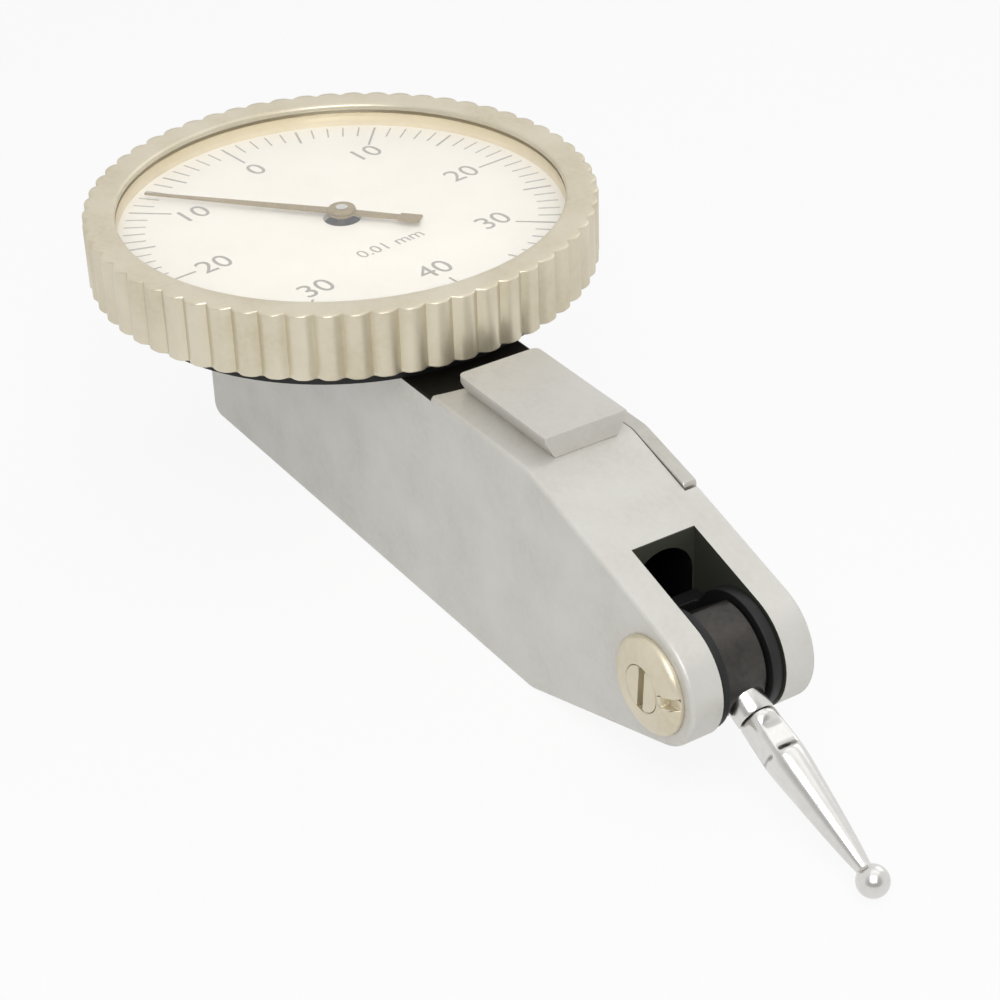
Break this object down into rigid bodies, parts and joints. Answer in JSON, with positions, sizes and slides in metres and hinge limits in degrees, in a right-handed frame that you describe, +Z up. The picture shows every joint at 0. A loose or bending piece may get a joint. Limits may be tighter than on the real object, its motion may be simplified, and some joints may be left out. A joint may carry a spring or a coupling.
{
  "type": "dial test indicator",
  "caption": "Lever type dial test indicator: narrow upright body with dovetails, round fluted bezel and dial on top, clevis nose with swivelling ball stylus.",
  "frame": {"origin": "on the flat underside of the body, straight below the dial's axis", "axes": "+X along the body to the stylus, +Z up through the dial, +Y to the side that carries the cover and the reversing lever"},
  "size_m": [0.0756, 0.035, 0.0221],
  "materials": {
    "satin_steel": "matt satin plated",
    "bright_steel": "ground steel",
    "black_aluminium": "black anodised",
    "nickel_brass": "satin nickel plated",
    "spring_steel": "tempered spring steel",
    "dial_white": "cream white print on aluminium",
    "tan_ring": "satin nickel plated",
    "plain_aluminium": "turned",
    "crystal": "clear polished",
    "bronze_hand": "bronzed",
    "ruby": "polished ruby",
    "brass": "turned brass",
    "gear_brass": "cut brass",
    "black_steel": "black oxide",
    "chrome": "polished chrome",
    "satin_lever": "satin plated"
  },
  "bodies": {
    "case": {"body": "satin_steel", "side_cover": "satin_steel", "side_cover_screws": "bright_steel", "case_plate": "black_aluminium", "case_plate_screws": "bright_steel", "bezel_friction_ring": "spring_steel", "arbor_jewels": "ruby", "hairspring": "spring_steel", "hairspring_stud": "brass", "contrate_jewels": "ruby", "contrate_bridge": "brass", "bridge_pillars": "brass", "bridge_screws": "bright_steel", "arbor_bridge": "brass", "travel_stop_pins": "bright_steel", "left_pivot_screw": "nickel_brass", "right_pivot_screw": "nickel_brass", "pivot_ring_nut": "nickel_brass"},
    "dial_head": {"bezel": "nickel_brass", "dial_carrier": "plain_aluminium", "dial": "dial_white", "dial_spacer_ring": "tan_ring", "crystal": "crystal"},
    "pointer_arbor": {"pointer": "bronze_hand", "pointer_hub": "bronze_hand", "centre_arbor": "bright_steel", "centre_pinion": "bright_steel", "hairspring_collet": "brass"},
    "contrate_gear": {"contrate_wheel": "brass", "contrate_axle": "bright_steel", "contrate_pinion": "bright_steel"},
    "lever": {"measuring_lever": "black_steel", "sector_gear": "gear_brass", "sector_rivets": "brass", "swivel_pin": "bright_steel", "bias_spring_post": "bright_steel"},
    "stylus": {"friction_washer": "spring_steel", "swivel_hub": "black_steel", "stylus_socket": "chrome", "stylus_shank": "chrome", "stylus_ball": "chrome"},
    "reverser": {"reversing_lever": "satin_lever", "reversing_shaft": "bright_steel", "reversing_cam": "black_steel", "bias_spring": "spring_steel"}
  },
  "joints": [
    {"name": "bezel_turn", "type": "hinge", "parent": "case", "child": "dial_head", "pos_m": [0, 0, 0.0195], "axis": [0, 0, 1], "continuous": true},
    {"name": "lever_swing", "type": "hinge", "parent": "case", "child": "lever", "pos_m": [0.0422, 0, 0.0082], "axis": [0, -1, 0], "range_deg": [0, 4.2], "stiffness_Nm_per_rad": 0.012, "springref_deg": -11.46, "deforming": ["bias_spring"]},
    {"name": "contrate_spin", "type": "hinge", "parent": "case", "child": "contrate_gear", "pos_m": [0, 0, 0.0082], "axis": [0, 1, 0], "range_deg": [0, 173.14]},
    {"name": "pointer_spin", "type": "hinge", "parent": "case", "child": "pointer_arbor", "pos_m": [0, 0, 0.0203], "axis": [0, 0, -1], "range_deg": [0, 541], "deforming": ["hairspring"]},
    {"name": "stylus_swivel", "type": "hinge", "parent": "lever", "child": "stylus", "pos_m": [0.0422, 0, 0.0082], "axis": [0, -1, 0], "range_deg": [-80.9, 129.1]},
    {"name": "reverser_swing", "type": "hinge", "parent": "case", "child": "reverser", "pos_m": [0.026, 0.004, 0.0082], "axis": [0, -1, 0], "range_deg": [0, 12]}
  ],
  "couplings": [
    {"joint": "contrate_spin", "follows": "lever_swing", "ratio": 41.2},
    {"joint": "pointer_spin", "follows": "lever_swing", "ratio": 128.75}
  ]
}
